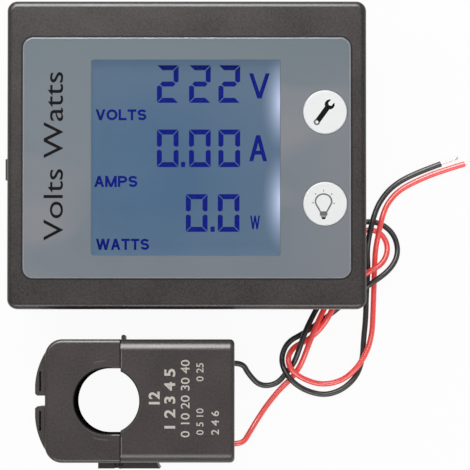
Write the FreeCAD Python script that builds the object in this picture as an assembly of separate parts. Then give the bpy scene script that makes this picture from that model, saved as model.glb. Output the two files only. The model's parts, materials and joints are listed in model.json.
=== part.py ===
"""Energy monitor: a panel meter with a three-row display, and its split-core current transformer.

Millimetres, +Z up. The meter lies on its back with its face up; its back face is centred on the origin. The
transformer lies on its side below it (-Y) with its bore upright, and its two leads run along the floor.
"""
import FreeCAD, Part
import math
import os

Vec = FreeCAD.Vector
UP = Vec(0, 0, 1)

# Meter: front bezel and depth
bezel_width = 88.0
bezel_height = 75.5
bezel_corner = 2.4
bezel_edge = 1.4
bezel_wall = 2.0
bezel_plate = 1.5
bezel_skirt = 6.5
meter_depth = 24.4
fit = 0.15

# Meter: printed overlay and its recess
label_border = 3.65
label_border_y = 8.05
label_corner = 2.6
label_y = -0.7
recess_depth = 0.7
film_thickness = 0.4

# Meter: display stack
display_border = 20.75
display_border_y = 13.7
display_x = -0.25
display_y = -0.65
display_corner = 0.6
window_flange = 1.2
window_flange_thickness = 0.8
glass_thickness = 2.0
guide_thickness = 3.2
contact_ledge = 3.4
holder_wall = 1.2
holder_floor = 1.4
holder_corner = 0.3
strip_thickness = 2.0
strip_end_gap = 4.0
lamp_size = (1.9, 4.2, 3.0)

# Meter: buttons and key switches
button_inset = 10.1
button_places = {"settings": 10.5, "backlight": -12.0}
button_radius = 5.4
button_play = 0.1
button_proud = 0.3
button_flange = 0.9
button_flange_thickness = 1.0
button_edge = 0.35
button_travel = 0.5
switch_size = 6.0
switch_height = 3.5
switch_corner = 0.5
plunger_radius = 1.7
plunger_play = 0.08
plunger_depth = 1.5
plunger_gap = 0.1

# Meter: main board and its screws
board_thickness = 1.6
board_gap = 0.55
board_corner = 1.5
screw_inset_x = 5.5
screw_inset_y = 2.25
boss_radius = 2.4
screw_radius = 1.1
screw_play = 0.05
screw_length = 6.0
screw_head_radius = 2.1
screw_head = 1.6
screw_slot = 0.6
screw_end_gap = 0.5

# Meter: components on the back of the board
film_size = (18.0, 7.0, 9.0)
film_place = (-22.0, 18.0)
film_corner = 0.6
can_place = (-24.0, 2.0)
can_radius = 4.0
can_height = 9.5
can_edge = 0.5
can_groove = 0.3
can_groove_heights = (1.8, 2.4)
varistor_place = (-8.0, 19.0)
varistor_radius = 4.2
varistor_thickness = 3.4
varistor_stand = 1.0
varistor_foot = (6.0, 2.6)
chip_thickness = 1.6
chip_stand = 0.1
chip_leg = (1.0, 0.4, 0.3)
chip_legs = 8
metering_chip_place = (8.0, 14.0)
metering_chip_size = (4.0, 10.0)
metering_chip_pitch = 1.27
controller_chip_place = (6.0, -10.0)
controller_chip_size = (7.0, 7.0)
controller_chip_pitch = 0.8

# Meter: rear housing, panel clips and bays at the back
house_wall = 1.8
house_floor = 1.8
house_corner = 2.0
house_edge = 1.0
spigot_length = 2.8
snap_length = 12.0
snap_height = 0.3
snap_thickness = 1.0
snap_x = 22.0
bay_width = 13.85
bay_y = (3.4, 26.0)
bay_depth = 11.0
relief_width = 10.35
relief_y = -13.0
relief_depth = 8.5
clip_length = 6.9
clip_y = -3.2
clip_thickness = 1.4
clip_root = 3.8
clip_top = 15.4
clip_barb_start = 9.0
clip_barb_top = 14.6
clip_barb_land = 0.3
clip_shoulder = 0.4
clip_taper = 0.9
clip_barb = {"left": 3.05, "right": 1.75}
clip_gap = 0.3
clip_swing = 12.0

# Meter: four-way terminal block
poles = 4
pole_pitch = 5.08
block_width = 9.0
block_inset = 1.85
block_back = 2.0
block_end = 0.4
block_edge = 0.4
screw_axis_inset = 4.0
terminal_head_radius = 1.9
terminal_head = 1.4
terminal_head_edge = 0.3
terminal_screw_radius = 1.2
terminal_play = 0.08
well_radius = 2.1
cage_size = (3.4, 3.6)
cage_wall = 0.5
cage_plate = 0.8
cage_rise = 1.6
cage_gap = 0.2
cage_side_gap = 0.15
wire_gap = 2.6
bar_thickness = 0.8
bar_width = 2.2
bar_inset = 1.0
wire_entry_radius = 1.3

# Transformer: outer form
ct_length = 48.5
ct_height = 30.0
ct_thickness = 31.0
ct_left = -36.8
ct_centre_y = -60.2
cap_body_left = -34.4
cap_corner = 4.2
cap_edge = 0.9
base_edge = 2.7
base_end_edge = 1.1
split_x = -16.1
split_gap = 0.2

# Transformer: bowed grips on the cap's far end, with distances along it from the mid line
grip_inset = 1.5
grip_overlap = 0.3
grip_root = 12.2
grip_bow = 8.3
grip_bulge = 0.35
grip_widest = 3.9
grip_tip = 1.8
grip_chamfer = 0.5
slit_depth = 1.0
slit_width = 0.5
slit_span = (2.4, 7.2)

# Transformer: bore and walls
bore_x = -19.4
bore_wall = 1.2
bore_lip = 0.4
side_wall = 2.4
end_wall = 1.5
face_wall = 1.5
split_wall = 1.4
cover_thickness = 1.5
cover_gap = 0.1

# Transformer: core, bobbin and winding
core_leg = 2.9
core_depth = 16.0
core_gap = 0.1
core_corner = 2.0
core_clear = 0.25
core_yoke_x = 5.2
rib_thickness = 1.2
bobbin_wall = 0.8
bobbin_clear = 0.15
bobbin_flange = 0.8
winding_thickness = 2.2

# Transformer: hinge below, latch above
pin_radius = 0.5
pin_play = 0.05
knuckle_radius = 1.15
knuckle_drop = 0.4
knuckle_gap = 0.3
web_height = 0.7
leaf_thickness = 1.5
leaf_start = 1.5
leaf_cap_length = 5.5
leaf_base_length = 9.6
hinge_z = (6.0, 25.0)
knuckle_share = 0.26
pin_end_gap = 0.3
latch_z = (11.0, 20.0)
latch_thickness = 1.0
latch_length = 9.0
latch_nose = 2.7
latch_gap = 0.3
latch_depth_gap = 0.1
tooth_length = 0.9
tooth_depth = 0.3
ridge_length = 0.8
ridge_height = 0.4
nib_width = 1.1
nib_height = 1.2

# Leads: routes along their centre lines, chosen by hand
lead_radius = 0.7
lead_exit_z = 4.5
tip_radius = 0.45
tip_length = 5.5
tail_length = 2.6
ct_right = ct_left + ct_length
black_route = [
    (ct_right, -51.0, lead_exit_z), (13.8, -51.0, lead_exit_z), (15.1, -53.5, 2.4), (18.0, -56.7, 0.8),
    (22.2, -56.3, 0.7), (24.8, -53.3, 0.7), (26.8, -50.6, 0.9), (27.9, -47.4, 2.7), (29.4, -43.0, 2.9),
    (31.3, -39.1, 1.0), (34.1, -34.1, 0.7), (36.3, -25.5, 0.7), (39.3, -19.1, 0.7), (42.8, -15.6, 0.7),
    (47.9, -15.5, 0.7), (51.8, -18.6, 0.7), (52.9, -23.5, 0.9), (50.6, -27.8, 2.7), (44.8, -31.8, 2.9),
    (41.1, -34.2, 0.9), (37.2, -37.6, 0.7), (33.0, -40.7, 0.7), (29.0, -43.5, 0.7), (25.0, -45.6, 0.7),
    (23.3, -49.5, 1.1), (24.2, -53.2, 2.8), (26.8, -56.2, 2.8), (30.2, -58.1, 0.9), (34.5, -59.0, 0.7),
    (38.8, -57.6, 0.7), (42.3, -54.3, 0.7), (43.8, -49.9, 0.7), (44.0, -45.4, 0.7), (44.6, -39.6, 0.7),
    (44.7, -33.6, 0.7), (45.2, -27.5, 0.7), (44.9, -23.0, 1.0), (45.4, -19.0, 2.7), (46.4, -14.7, 2.8),
    (47.9, -10.8, 1.0), (51.0, -6.8, 0.7), (56.3, -3.6, 0.7), (63.5, -1.0, 0.7)]
red_route = [
    (ct_right, -71.0, lead_exit_z), (13.8, -71.0, lead_exit_z), (15.5, -68.2, 2.3), (17.5, -64.9, 0.8),
    (19.9, -61.3, 0.7), (23.1, -57.4, 0.7), (26.1, -54.7, 0.7), (28.4, -51.3, 0.9), (29.8, -47.5, 2.7),
    (32.1, -41.6, 2.9), (34.1, -37.5, 1.3), (36.2, -33.4, 0.7), (38.3, -26.5, 0.7), (40.7, -20.4, 0.7),
    (43.8, -17.4, 0.7), (48.2, -17.9, 0.7), (50.4, -21.7, 0.8), (49.0, -26.1, 2.7), (44.7, -28.4, 2.9),
    (41.6, -31.2, 1.2), (38.6, -34.1, 1.0), (36.3, -37.1, 2.7), (34.9, -40.1, 2.7), (32.6, -43.1, 0.9),
    (29.7, -45.4, 0.7), (26.6, -46.8, 0.9), (24.9, -49.5, 2.6), (25.7, -52.7, 2.9), (29.0, -55.0, 1.4),
    (33.5, -56.4, 0.7), (38.3, -55.5, 0.9), (41.9, -52.7, 2.6), (44.7, -48.5, 2.7), (46.1, -44.0, 0.9),
    (46.4, -39.1, 0.7), (46.6, -33.3, 0.7), (46.8, -27.0, 0.7), (47.0, -22.5, 1.0), (47.8, -18.2, 2.7),
    (48.7, -14.2, 2.8), (50.1, -10.8, 1.0), (53.1, -7.5, 0.7), (58.2, -4.9, 0.7), (63.8, -2.7, 0.7),
    (69.5, -1.0, 0.7)]

# Heights in the meter, from its face down
face_z = meter_depth
seat_z = face_z - bezel_skirt
recess_z = face_z - recess_depth
plate_z = recess_z - bezel_plate
film_z = recess_z + film_thickness
glass_top = plate_z - window_flange_thickness
glass_z = glass_top - glass_thickness
guide_z = glass_z - guide_thickness
board_top = guide_z - holder_floor
board_z = board_top - board_thickness
spigot_z = seat_z + spigot_length

# Widths in the meter
inside_width = bezel_width - 2 * bezel_wall
inside_height = bezel_height - 2 * bezel_wall
house_width = inside_width - 2 * fit
house_height = inside_height - 2 * fit
house_half = house_width / 2
label_width = bezel_width - 2 * label_border
label_height = bezel_height - 2 * label_border_y
display_width = bezel_width - 2 * display_border
display_height = bezel_height - 2 * display_border_y
glass_width = display_width + 2 * window_flange
glass_height = display_height + 2 * window_flange
glass_top_y = display_y + glass_height / 2
button_x = bezel_width / 2 - button_inset
board_width = house_width - 2 * house_wall - 2 * board_gap
board_height = house_height - 2 * house_wall - 2 * board_gap
screw_x = board_width / 2 - screw_inset_x
screw_y = board_height / 2 - screw_inset_y
bay_x = house_half - bay_width
relief_x = house_half - relief_width
block_x = (house_half - block_inset - block_width, house_half - block_inset)
screw_axis_x = block_x[1] - screw_axis_inset
block_y = (bay_y[0] + bay_y[1]) / 2
block_length = poles * pole_pitch + 2 * block_end
pole_places = [block_y + (i - (poles - 1) / 2) * pole_pitch for i in range(poles)]

# Heights in a terminal, from the screw head up
terminal_head_z = block_back + cage_gap
well_floor_z = terminal_head_z + terminal_head + cage_gap
cage_z = well_floor_z + cage_rise
bar_z = cage_z + cage_plate + cage_gap
cage_top = bar_z + bar_thickness + wire_gap + cage_plate
chamber_top = cage_top + cage_gap
wire_entry_z = bar_z + bar_thickness + wire_gap / 2

# Places in the transformer
ct_top = ct_centre_y + ct_height / 2
ct_bottom = ct_centre_y - ct_height / 2
cap_face = split_x - split_gap / 2
base_face = split_x + split_gap / 2
room_half = ct_height / 2 - side_wall
core_outer = room_half - core_clear
core_inner = core_outer - core_leg
bore_radius = core_inner - core_clear - bore_wall
core_z = (ct_thickness - core_depth) / 2
core_top = core_z + core_depth
pin_y = ct_bottom - knuckle_drop
latch_top = ct_top - latch_depth_gap
latch_floor = ct_top - latch_thickness - 2 * latch_depth_gap
ridge_floor = latch_floor - tooth_depth - ridge_height


def block(x0, x1, y0, y1, z0, z1):
    """Box between two corners."""
    return Part.makeBox(x1 - x0, y1 - y0, z1 - z0, Vec(x0, y0, z0))


def post(radius, x, y, z0, z1):
    """Round bar that stands upright."""
    return Part.makeCylinder(radius, z1 - z0, Vec(x, y, z0))


def slab(width, height, corner, x, y, z0, z1):
    """Plate with round corners, centred on x and y."""
    plate = block(x - width / 2, x + width / 2, y - height / 2, y + height / 2, z0, z1)
    return plate.makeFillet(corner, uprights(plate))


def uprights(shape):
    """Straight edges that run along Z."""
    found = []
    for edge in shape.Edges:
        start, end = edge.Vertexes[0].Point, edge.Vertexes[-1].Point
        if abs(start.x - end.x) + abs(start.y - end.y) < 1e-6 and abs(start.z - end.z) > 1e-6:
            found.append(edge)
    return found


def rim(shape, z):
    """Edges that lie flat at one height."""
    return [e for e in shape.Edges if all(abs(v.Z - z) < 1e-6 for v in e.Vertexes)]


def prism(points, z0, z1):
    """Upright prism on a flat outline of straight sides."""
    corners = [Vec(x, y, z0) for x, y in points]
    return Part.Face(Part.makePolygon(corners + corners[:1])).extrude(UP * (z1 - z0))


def merge(shapes):
    """One solid from shapes that touch or overlap."""
    return shapes[0].multiFuse(shapes[1:]).removeSplitter()


def save(name, *solids):
    """Write one node; separate solids go in as a group."""
    shape = solids[0] if len(solids) == 1 else Part.makeCompound(list(solids))
    if not shape.isValid():
        raise ValueError(name + " isn't a valid solid")
    shape.exportStep(os.path.join("parts", name + ".step"))


# Front bezel

def screw_places():
    """The four board screws, seen from the front."""
    return [(sx * screw_x, sy * screw_y) for sx in (-1, 1) for sy in (-1, 1)]


def snap_ridges(gap):
    """Catches on the spigot's long sides; a gap makes the pockets that they click into."""
    ridges = []
    mid_z = (seat_z + spigot_z) / 2
    reach = house_height / 2 + snap_height + gap
    for side in (-1, 1):
        for x in (-snap_x, snap_x):
            half = snap_length / 2 + gap
            low, high = sorted((side * (house_height / 2 - house_wall / 2), side * reach))
            ridges.append(block(x - half, x + half, low, high,
                                mid_z - snap_thickness / 2 - gap, mid_z + snap_thickness / 2 + gap))
    return ridges


def front_bezel():
    """Moulded frame: skirt, rounded front edge, overlay recess, display opening and button holes."""
    body = slab(bezel_width, bezel_height, bezel_corner, 0, 0, seat_z, face_z)
    body = body.makeFillet(bezel_edge, rim(body, face_z))
    inside = slab(inside_width, inside_height, house_corner, 0, 0, seat_z - 1, plate_z)
    recess = slab(label_width, label_height, label_corner, 0, label_y, recess_z, face_z + 1)
    opening = slab(display_width, display_height, display_corner, display_x, display_y, plate_z - 1, face_z)
    body = body.cut([inside, recess, opening])
    for y in button_places.values():
        body = body.cut(post(button_radius + button_play, button_x, y, plate_z - 1, face_z))
    bosses = [post(boss_radius, x, y, board_top, plate_z) for x, y in screw_places()]
    pilots = [post(screw_radius + screw_play, x, y, board_top - 1, board_top + screw_length)
              for x, y in screw_places()]
    return merge([body] + bosses).cut(pilots + snap_ridges(fit))


def overlay_film():
    """Printed film in the recess, with the display cut out and two holes for the buttons."""
    film = slab(label_width - 2 * fit, label_height - 2 * fit, label_corner - fit, 0, label_y,
                recess_z, film_z)
    film = film.cut(slab(display_width, display_height, display_corner, display_x, display_y,
                         recess_z - 1, face_z))
    for y in button_places.values():
        film = film.cut(post(button_radius + button_play, button_x, y, recess_z - 1, face_z))
    return film


# Display

def display_window():
    """Clear window that fills the opening, held from behind by its flange."""
    pane = slab(display_width - 2 * fit, display_height - 2 * fit, display_corner, display_x, display_y,
                glass_top, film_z)
    flange = slab(glass_width, glass_height, display_corner, display_x, display_y, glass_top, plate_z)
    return merge([flange, pane])


def display_glass():
    """Liquid crystal cell: the front sheet is shorter than the rear one, which carries the contacts."""
    return block(display_x - glass_width / 2, display_x + glass_width / 2, display_y - glass_height / 2,
                 display_y + glass_height / 2, glass_z, glass_top)


def display_holder():
    """Tray on the board that holds the cell, the backlight guide and the contact strip."""
    width = glass_width + 2 * fit + 2 * holder_wall
    height = glass_height + 2 * fit + 2 * holder_wall
    tray = slab(width, height, holder_wall, display_x, display_y, board_top, glass_top)
    room = slab(glass_width + 2 * fit, glass_height + 2 * fit, holder_corner, display_x, display_y,
                guide_z, glass_top + 1)
    return tray.cut([room, strip_bar(fit, board_top - 1, glass_z)])


def contact_strip():
    """Rubber strip that joins the cell's contact ledge to the board."""
    return strip_bar(0, board_top, glass_z)


def strip_bar(gap, z0, z1):
    """Bar on the line of the contact strip, wider all round by a gap."""
    half = glass_width / 2 - strip_end_gap + gap
    middle = glass_top_y - contact_ledge / 2
    reach = strip_thickness / 2 + gap
    return block(display_x - half, display_x + half, middle - reach, middle + reach, z0, z1)


def backlight_lamps(gap):
    """Side-firing lamps on the tray floor, level with the buttons, or the space for them."""
    along, across, tall = lamp_size
    right = display_x + glass_width / 2
    return [block(right - along - gap, right, y - across / 2 - gap, y + across / 2 + gap, guide_z,
                  guide_z + tall + gap) for y in button_places.values()]


def backlight_guide():
    """Clear light guide behind the cell, cut back for the contact strip and for each lamp."""
    guide = block(display_x - glass_width / 2, display_x + glass_width / 2, display_y - glass_height / 2,
                  glass_top_y - contact_ledge, guide_z, glass_z)
    return guide.cut(backlight_lamps(fit))


# Buttons and their switches

def push_button(y):
    """Round cap with a stop flange under the bezel plate and a stem down to the switch."""
    cap = post(button_radius, button_x, y, plate_z - button_flange_thickness, film_z + button_proud)
    cap = cap.makeFillet(button_edge, rim(cap, film_z + button_proud))
    flange = post(button_radius + button_flange, button_x, y, plate_z - button_flange_thickness, plate_z)
    stem = post(plunger_radius, button_x, y, board_top + switch_height + 2 * button_travel,
                plate_z - button_flange_thickness)
    return merge([cap, flange, stem])


def key_switch(y):
    """Square switch body with a round bore for its plunger."""
    body = slab(switch_size, switch_size, switch_corner, button_x, y, board_top, board_top + switch_height)
    return body.cut(post(plunger_radius + plunger_play, button_x, y,
                         board_top + switch_height - plunger_depth - button_travel - plunger_gap,
                         board_top + switch_height + 1))


def key_plunger(y):
    """Plunger between the switch and the button's stem."""
    return post(plunger_radius, button_x, y, board_top + switch_height - plunger_depth,
                board_top + switch_height + 2 * button_travel)


# Main board and what is soldered to it

def main_board():
    """Board with four screw holes and a notch beside each panel clip."""
    board = slab(board_width, board_height, board_corner, 0, 0, board_z, board_top)
    for x, y in screw_places():
        board = board.cut(post(screw_radius + fit, x, y, board_z - 1, board_top + 1))
    notch_x = house_half - clip_thickness - clip_swing_reach() - clip_gap
    half = clip_length / 2 + 2 * clip_gap
    for side in (-1, 1):
        low, high = sorted((side * notch_x, side * board_width))
        board = board.cut(block(low, high, clip_y - half, clip_y + half, board_z - 1, board_top + 1))
    return board


def clip_swing_reach():
    """How far a clip's free end moves in at the end of its swing."""
    return (clip_top - clip_root) * math.sin(math.radians(clip_swing))


def board_screw(x, y):
    """Pan head screw from the back of the board into its boss."""
    head = post(screw_head_radius, x, y, board_z - screw_head, board_z)
    head = head.makeFillet(screw_head / 3, rim(head, board_z - screw_head))
    slot = block(x - screw_head_radius, x + screw_head_radius, y - screw_slot / 2, y + screw_slot / 2,
                 board_z - screw_head - 1, board_z - screw_head + screw_slot)
    shank = post(screw_radius, x, y, board_z, board_top + screw_length - screw_end_gap)
    return merge([head, shank]).cut(slot)


def film_capacitor():
    """Boxed mains capacitor."""
    length, width, height = film_size
    return slab(length, width, film_corner, *film_place, board_z - height, board_z)


def electrolytic_capacitor():
    """Round can, standing, with the groove near its foot."""
    can = post(can_radius, *can_place, board_z - can_height, board_z)
    can = can.makeFillet(can_edge, rim(can, board_z - can_height))
    low, high = board_z - can_groove_heights[1], board_z - can_groove_heights[0]
    ring = post(can_radius + 1, *can_place, low, high)
    return can.cut(ring.cut(post(can_radius - can_groove, *can_place, low, high)))


def varistor():
    """Coated disc on edge, standing on its foot."""
    x, y = varistor_place
    low, high = x - varistor_thickness / 2, x + varistor_thickness / 2
    foot_width, foot_height = varistor_foot
    disc = Part.makeCylinder(varistor_radius, varistor_thickness,
                             Vec(low, y, board_z - varistor_radius - varistor_stand), Vec(1, 0, 0))
    foot = block(low, high, y - foot_width / 2, y + foot_width / 2, board_z - foot_height, board_z)
    return merge([disc, foot])


def chip(place, size, pitch):
    """Small package with a row of legs down each side."""
    x, y = place
    half_x, half_y = size[0] / 2, size[1] / 2
    leg_reach, leg_width, leg_height = chip_leg
    pieces = [block(x - half_x, x + half_x, y - half_y, y + half_y,
                    board_z - chip_stand - chip_thickness, board_z - chip_stand)]
    for i in range(chip_legs):
        leg_y = y + (i - (chip_legs - 1) / 2) * pitch
        pieces.append(block(x - half_x - leg_reach, x + half_x + leg_reach, leg_y - leg_width / 2,
                            leg_y + leg_width / 2, board_z - leg_height, board_z))
    return merge(pieces)


# Rear housing and panel clips

def bays(grow):
    """Two bays open to the back and the right: one for the terminals, one where leads pass the corner."""
    right = house_half + 1 + grow
    terminals = block(bay_x - grow, right, bay_y[0] - grow, bay_y[1] + grow, -1, bay_depth + grow)
    corner = block(relief_x - grow, right, -house_height / 2 - 1 - grow, relief_y + grow, -1,
                   relief_depth + grow)
    return [terminals, corner]


def rear_housing():
    """Tub behind the bezel; its rim is the spigot, its back is flat to stand on."""
    body = slab(house_width, house_height, house_corner, 0, 0, 0, spigot_z)
    body = body.makeFillet(house_edge, rim(body, 0))
    room = slab(house_width - 2 * house_wall, house_height - 2 * house_wall, house_corner - house_wall / 2,
                0, 0, house_floor, spigot_z + 1)
    body = body.cut(room.cut(bays(house_wall))).cut(bays(0))
    half_block = block_length / 2 + fit
    body = body.cut(block(block_x[0] - fit, block_x[1] + fit, block_y - half_block, block_y + half_block,
                          bay_depth - 1, bay_depth + house_wall + 1))
    half_clip = clip_length / 2 + clip_gap
    for side in (-1, 1):
        low, high = sorted((side * (house_half - house_wall - 1), side * (house_half + 1)))
        window = block(low, high, clip_y - half_clip, clip_y + half_clip,
                       clip_root - clip_thickness / 2 - clip_gap, clip_top + clip_gap)
        body = body.cut(window)
    return merge([body] + snap_ridges(0))


def panel_clip(side, barb):
    """Sprung tongue in the housing's side wall, with a barb that grips behind the panel."""
    outer = house_half
    inner = outer - clip_thickness
    reach = outer + barb
    shoulder = outer + clip_shoulder
    low, high = clip_y - clip_length / 2, clip_y + clip_length / 2
    profile = [(inner, clip_root), (outer, clip_root), (outer, clip_barb_start), (reach, clip_barb_top),
               (reach, clip_barb_top + clip_barb_land), (shoulder, clip_top), (inner, clip_top)]
    corners = [Vec(side * u, low, z) for u, z in profile]
    tongue = Part.Face(Part.makePolygon(corners + corners[:1])).extrude(Vec(0, clip_length, 0))
    root = Part.makeCylinder(clip_thickness / 2, clip_length,
                             Vec(side * (outer - clip_thickness / 2), low, clip_root), Vec(0, 1, 0))
    plan = prism([(side * (inner - 1), low), (side * shoulder, low), (side * reach, low + clip_taper),
                  (side * reach, high - clip_taper), (side * shoulder, high), (side * (inner - 1), high)],
                 0, face_z)
    return merge([tongue, root]).common(plan)


# Terminal block, its screws and its rising clamps

def terminal_block():
    """Insulating body with a screw well, a clamp chamber and a wire entry for each pole."""
    body = block(block_x[0], block_x[1], block_y - block_length / 2, block_y + block_length / 2,
                 block_back, board_z)
    body = body.makeFillet(block_edge, rim(body, block_back))
    half_x = cage_size[0] / 2 + cage_side_gap
    half_y = cage_size[1] / 2 + cage_side_gap
    for y in pole_places:
        well = post(well_radius, screw_axis_x, y, block_back - 1, well_floor_z)
        chamber = block(screw_axis_x - half_x, screw_axis_x + half_x, y - half_y, y + half_y,
                        well_floor_z - cage_gap, chamber_top)
        entry = Part.makeCylinder(wire_entry_radius, block_x[1] - screw_axis_x + 1,
                                  Vec(screw_axis_x, y, wire_entry_z), Vec(1, 0, 0))
        body = body.cut([well, chamber, entry, terminal_contact(y)])
    return body


def terminal_contact(y):
    """Fixed contact bar that the screw's tip bears on, with its leg up to the board."""
    left = block_x[0] + bar_inset
    right = screw_axis_x + cage_size[0] / 2
    bar = block(left, right, y - bar_width / 2, y + bar_width / 2, bar_z, bar_z + bar_thickness)
    leg = block(left, left + bar_thickness, y - bar_width / 2, y + bar_width / 2, bar_z, board_z)
    return merge([bar, leg])


def terminal_screw(y):
    """Slotted clamp screw; its head faces the back, its tip bears on the contact bar."""
    head = post(terminal_head_radius, screw_axis_x, y, terminal_head_z, terminal_head_z + terminal_head)
    head = head.makeFillet(terminal_head_edge, rim(head, terminal_head_z))
    slot = block(screw_axis_x - well_radius, screw_axis_x + well_radius, y - screw_slot / 2,
                 y + screw_slot / 2, terminal_head_z - 1, terminal_head_z + terminal_head / 2)
    shaft = post(terminal_screw_radius, screw_axis_x, y, terminal_head_z + terminal_head, bar_z)
    return merge([head, shaft]).cut(slot)


def terminal_clamp(y):
    """Square cage on the screw; it rises towards the head and grips the wire against the bar."""
    half_x, half_y = cage_size[0] / 2, cage_size[1] / 2
    cage = block(screw_axis_x - half_x, screw_axis_x + half_x, y - half_y, y + half_y, cage_z, cage_top)
    space = block(screw_axis_x - half_x - 1, screw_axis_x + half_x + 1, y - half_y + cage_wall,
                  y + half_y - cage_wall, cage_z + cage_plate, cage_top - cage_plate)
    thread = post(terminal_screw_radius + terminal_play, screw_axis_x, y, cage_z - 1, cage_z + cage_plate + 1)
    return cage.cut([space, thread])


# Transformer shells

def cap_outline(left, half, radius, right):
    """Flat outline of the cap: square at the split, round at its far corners."""
    low, high = ct_centre_y - half, ct_centre_y + half
    lean = radius * (1 - math.sqrt(0.5))
    edges = [
        Part.LineSegment(Vec(right, high, 0), Vec(left + radius, high, 0)).toShape(),
        Part.Arc(Vec(left + radius, high, 0), Vec(left + lean, high - lean, 0),
                 Vec(left, high - radius, 0)).toShape(),
        Part.LineSegment(Vec(left, high - radius, 0), Vec(left, low + radius, 0)).toShape(),
        Part.Arc(Vec(left, low + radius, 0), Vec(left + lean, low + lean, 0),
                 Vec(left + radius, low, 0)).toShape(),
        Part.LineSegment(Vec(left + radius, low, 0), Vec(right, low, 0)).toShape(),
        Part.LineSegment(Vec(right, low, 0), Vec(right, high, 0)).toShape()]
    return Part.Face(Part.Wire(edges))


def raise_face(face, z0, z1):
    """Solid from a flat face between two heights."""
    return face.translated(Vec(0, 0, z0)).extrude(UP * (z1 - z0))


def bore_space(grow, z0, z1):
    """Round bore, run out straight towards the split inside the cap."""
    radius = bore_radius + grow
    tangents = block(bore_x, split_x + 1, ct_centre_y - radius, ct_centre_y + radius, z0, z1)
    return merge([post(radius, bore_x, ct_centre_y, z0, z1), tangents])


def cap_rim(shape, z):
    """Rim edges of the cap at one height, without the one on the split face."""
    return [e for e in rim(shape, z) if any(abs(v.X - cap_face) > 1e-6 for v in e.Vertexes)]


def core_windows(x0, x1, gap):
    """Two windows in a split wall that let the core's legs through."""
    windows = []
    for side in (-1, 1):
        low, high = sorted((ct_centre_y + side * (core_inner - gap), ct_centre_y + side * (core_outer + gap)))
        windows.append(block(x0, x1, low, high, core_z - gap, core_top + gap))
    return windows


def grip(side):
    """Bowed finger grip on the cap's far end, with a narrow slit behind the bow."""
    def at(x, along):
        return Vec(x, ct_centre_y + side * along, 0)
    inside = cap_body_left + grip_overlap
    root = at(inside, grip_root)
    bulge = at((cap_body_left + ct_left) / 2 - grip_bulge, grip_bow)
    corners = [at(ct_left, grip_widest), at(ct_left, grip_tip),
               at(ct_left + grip_chamfer, grip_tip - grip_chamfer), at(inside, grip_tip - grip_chamfer), root]
    edges = [Part.Arc(root, bulge, corners[0]).toShape()]
    edges += [Part.LineSegment(a, b).toShape() for a, b in zip(corners, corners[1:])]
    bow = raise_face(Part.Face(Part.Wire(edges)), grip_inset, ct_thickness - grip_inset)
    slit_x = ct_left + slit_depth
    low, high = sorted(ct_centre_y + side * along for along in slit_span)
    return bow.cut(block(slit_x, slit_x + slit_width, low, high, 0, ct_thickness))


def knuckles(owner, gap):
    """Round hinge knuckles: the cap has the middle one, the base one at each end."""
    z0, z1 = hinge_z
    share = (z1 - z0) * knuckle_share
    middle = [(z0 + share, z1 - share)]
    ends = [(z0, z0 + share - knuckle_gap), (z1 - share + knuckle_gap, z1)]
    spans = middle if owner == "cap" else ends
    return [post(knuckle_radius + gap, split_x, pin_y, low - gap, high + gap) for low, high in spans]


def hinge_leaf(owner):
    """Strap on the shell's underside edge that carries the knuckles."""
    z0, z1 = hinge_z
    low = ct_bottom - leaf_thickness
    if owner == "cap":
        return block(split_x - leaf_cap_length, split_x - leaf_start, low, ct_bottom + side_wall / 2, z0, z1)
    return prism([(split_x + leaf_start, low), (split_x + leaf_base_length, low),
                  (split_x + leaf_base_length - leaf_thickness, ct_bottom + side_wall / 2),
                  (split_x + leaf_start, ct_bottom + side_wall / 2)], z0, z1)


def knuckle_webs(owner):
    """Webs from the leaf to its knuckles."""
    webs = []
    for knuckle in knuckles(owner, 0):
        box = knuckle.BoundBox
        x0, x1 = (split_x - leaf_start, split_x) if owner == "cap" else (split_x, split_x + leaf_start)
        webs.append(block(x0, x1, ct_bottom - leaf_thickness, pin_y + web_height, box.ZMin, box.ZMax))
    return webs


def hinged(shell, owner):
    """Add a shell's hinge parts: leaf, webs, knuckles, the pin's bore and room for the other's knuckles."""
    other = "base" if owner == "cap" else "cap"
    shell = shell.cut(knuckles(other, knuckle_gap))
    shell = merge([shell, hinge_leaf(owner)] + knuckle_webs(owner) + knuckles(owner, 0))
    return shell.cut(post(pin_radius + pin_play, split_x, pin_y, hinge_z[0] - 1, hinge_z[1] + 1))


def latch_space(floor, x0, x1):
    """Slot for the latch along the top edge of both shells."""
    return block(x0, x1, floor, ct_top + 1, latch_z[0] - latch_gap, latch_z[1] + latch_gap)


def bore_rims(shape):
    """Edges where the bore meets the two flat sides of a shell."""
    near = (bore_radius + core_inner) / 2
    centre = Vec(bore_x, ct_centre_y, 0)
    found = []
    for edge in rim(shape, 0) + rim(shape, ct_thickness):
        if all((Vec(v.X, v.Y, 0) - centre).Length < near for v in edge.Vertexes):
            found.append(edge)
    return found


def cap_room(z0, z1, shrink):
    """Hollow of the cap round the bore, for the core's moving half."""
    outline = cap_outline(cap_body_left + end_wall + shrink, room_half - shrink, cap_corner - end_wall,
                          cap_face - split_wall - shrink)
    return raise_face(outline, z0, z1).cut(bore_space(bore_wall + shrink, z0, z1))


def rest_ribs(room, places, z0, z1):
    """Ribs across a hollow that the core rests on."""
    ribs = []
    for x in places:
        strip = block(x - rib_thickness / 2, x + rib_thickness / 2, ct_bottom, ct_top, z0, z1)
        ribs.append(strip.common(room))
    return ribs


def cap_rib_places():
    """Two ribs along the cap."""
    return [bore_x - bore_radius, cap_face - split_wall - rib_thickness]


def base_rib_places():
    """Two ribs along the base: by the split and under the yoke's bobbin flanges."""
    return [base_face + split_wall + rib_thickness, base_face + split_wall + 4 * rib_thickness]


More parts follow.
